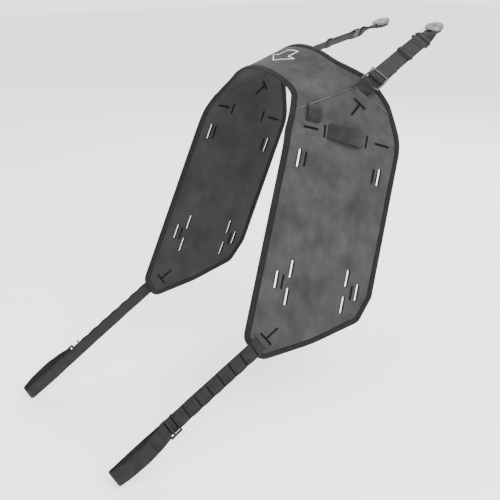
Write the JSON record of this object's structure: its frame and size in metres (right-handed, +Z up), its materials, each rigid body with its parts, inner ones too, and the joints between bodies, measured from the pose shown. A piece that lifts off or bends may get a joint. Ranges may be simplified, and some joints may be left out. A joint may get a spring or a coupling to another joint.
{
  "type": "saddle-over pannier mounting harness",
  "caption": "Arched bridge and two slotted fabric side panels that sit over a seat, with adjustable straps, flat hooks and bolt-down discs.",
  "frame": {"origin": "on the centre line of the bridge, underside reference surface of its sheet, halfway from the front edge to the rear edge", "axes": "+Z up, -Y towards the front of the vehicle, +X to its left"},
  "size_m": [0.4086, 0.8125, 0.6738],
  "materials": {
    "coated_cloth": "mottled grey coated fabric",
    "lining_cloth": "darker coated lining",
    "stiffener": "hidden sheet",
    "binding_tape": "ribbed tape",
    "webbing": "ribbed webbing",
    "thread": "dense stitching",
    "gunmetal": "satin dark metal",
    "satin_disc": "satin, rounded rim",
    "rubber_pad": "matte"
  },
  "bodies": {
    "bridge": {"bridge_sheet": "coated_cloth", "bridge_lining": "lining_cloth", "bridge_binding_front": "binding_tape", "bridge_binding_rear": "binding_tape"},
    "panel_left": {"wing_sheet_left": "coated_cloth", "panel_lining_left": "lining_cloth", "panel_stiffener_left": "stiffener", "panel_skin_left": "coated_cloth", "panel_binding_left": "binding_tape", "slit_bar_left": "binding_tape", "loop_upright_left": "webbing", "loop_cross_left": "webbing", "bar_tacks_left": "thread", "stub_webbing_left": "webbing"},
    "buckle_left": {"buckle_left": "gunmetal", "strap_tail_left": "webbing"},
    "upper_run_left": {"upper_strap_left": "webbing"},
    "upper_hook_left": {"upper_hook_left": "gunmetal"},
    "anchor_left": {"anchor_loop_left": "webbing", "disc_cap_left": "satin_disc", "disc_backing_left": "rubber_pad"},
    "lower_run_left": {"lower_strap_left": "webbing", "daisy_chain_left": "webbing", "chain_tacks_left": "thread"},
    "loop_return_left": {"loop_return_left": "webbing"},
    "lower_hook_left": {"lower_hook_left": "gunmetal"},
    "panel_right": {"wing_sheet_right": "coated_cloth", "panel_lining_right": "lining_cloth", "panel_stiffener_right": "stiffener", "panel_skin_right": "coated_cloth", "panel_binding_right": "binding_tape", "slit_bar_right": "binding_tape", "loop_upright_right": "webbing", "loop_cross_right": "webbing", "bar_tacks_right": "thread", "stub_webbing_right": "webbing"},
    "buckle_right": {"buckle_right": "gunmetal", "strap_tail_right": "webbing"},
    "upper_run_right": {"upper_strap_right": "webbing"},
    "upper_hook_right": {"upper_hook_right": "gunmetal"},
    "anchor_right": {"anchor_loop_right": "webbing", "disc_cap_right": "satin_disc", "disc_backing_right": "rubber_pad"},
    "lower_run_right": {"lower_strap_right": "webbing", "daisy_chain_right": "webbing", "chain_tacks_right": "thread"},
    "loop_return_right": {"loop_return_right": "webbing"},
    "lower_hook_right": {"lower_hook_right": "gunmetal"}
  },
  "joints": [
    {"name": "panel_fold_left", "type": "hinge", "parent": "bridge", "child": "panel_left", "pos_m": [0.10457, 0.02638, -0.03574], "axis": [-0.0654, -0.9632, -0.2607], "range_deg": [-10, 70]},
    {"name": "buckle_tilt_left", "type": "hinge", "parent": "panel_left", "child": "buckle_left", "pos_m": [0.14021, 0.08949, -0.0406], "axis": [0.7211, 0.3954, -0.5689], "range_deg": [0, 30]},
    {"name": "strap_adjust_left", "type": "slide", "parent": "buckle_left", "child": "upper_run_left", "axis": [-0.2769, 0.9172, 0.2865], "range_m": [0, 0.03]},
    {"name": "upper_hook_tilt_left", "type": "hinge", "parent": "upper_run_left", "child": "upper_hook_left", "pos_m": [0.0911, 0.2608, 0.01621], "axis": [0.7211, 0.3954, -0.5689], "range_deg": [-25, 40]},
    {"name": "anchor_tilt_left", "type": "hinge", "parent": "upper_hook_left", "child": "anchor_left", "pos_m": [0.08612, 0.27731, 0.02136], "axis": [0.7211, 0.3954, -0.5689], "range_deg": [-25, 40]},
    {"name": "lower_strap_swing_left", "type": "hinge", "parent": "panel_left", "child": "lower_run_left", "pos_m": [0.17837, -0.17956, -0.45518], "axis": [-0.2109, -0.4683, 0.858], "range_deg": [0, 90]},
    {"name": "loop_open_left", "type": "hinge", "parent": "lower_run_left", "child": "loop_return_left", "pos_m": [0.17836, -0.46146, -0.60903], "axis": [0.2109, 0.4683, -0.858], "range_deg": [0, 110]},
    {"name": "lower_hook_tilt_left", "type": "hinge", "parent": "loop_return_left", "child": "lower_hook_left", "pos_m": [0.17684, -0.36817, -0.55849], "axis": [0.2109, 0.4683, -0.858], "range_deg": [0, 90]},
    {"name": "panel_fold_right", "type": "hinge", "parent": "bridge", "child": "panel_right", "pos_m": [-0.10457, 0.02638, -0.03574], "axis": [-0.0654, 0.9632, 0.2607], "range_deg": [-10, 70]},
    {"name": "buckle_tilt_right", "type": "hinge", "parent": "panel_right", "child": "buckle_right", "pos_m": [-0.14021, 0.08949, -0.0406], "axis": [0.7211, -0.3954, 0.5689], "range_deg": [0, 30]},
    {"name": "strap_adjust_right", "type": "slide", "parent": "buckle_right", "child": "upper_run_right", "axis": [0.2769, 0.9172, 0.2865], "range_m": [0, 0.03]},
    {"name": "upper_hook_tilt_right", "type": "hinge", "parent": "upper_run_right", "child": "upper_hook_right", "pos_m": [-0.0911, 0.2608, 0.01621], "axis": [0.7211, -0.3954, 0.5689], "range_deg": [-25, 40]},
    {"name": "anchor_tilt_right", "type": "hinge", "parent": "upper_hook_right", "child": "anchor_right", "pos_m": [-0.08612, 0.27731, 0.02136], "axis": [0.7211, -0.3954, 0.5689], "range_deg": [-25, 40]},
    {"name": "lower_strap_swing_right", "type": "hinge", "parent": "panel_right", "child": "lower_run_right", "pos_m": [-0.17837, -0.17956, -0.45518], "axis": [-0.2109, 0.4683, -0.858], "range_deg": [0, 90]},
    {"name": "loop_open_right", "type": "hinge", "parent": "lower_run_right", "child": "loop_return_right", "pos_m": [-0.17836, -0.46146, -0.60903], "axis": [0.2109, -0.4683, 0.858], "range_deg": [0, 110]},
    {"name": "lower_hook_tilt_right", "type": "hinge", "parent": "loop_return_right", "child": "lower_hook_right", "pos_m": [-0.17684, -0.36817, -0.55849], "axis": [0.2109, -0.4683, 0.858], "range_deg": [0, 90]}
  ]
}
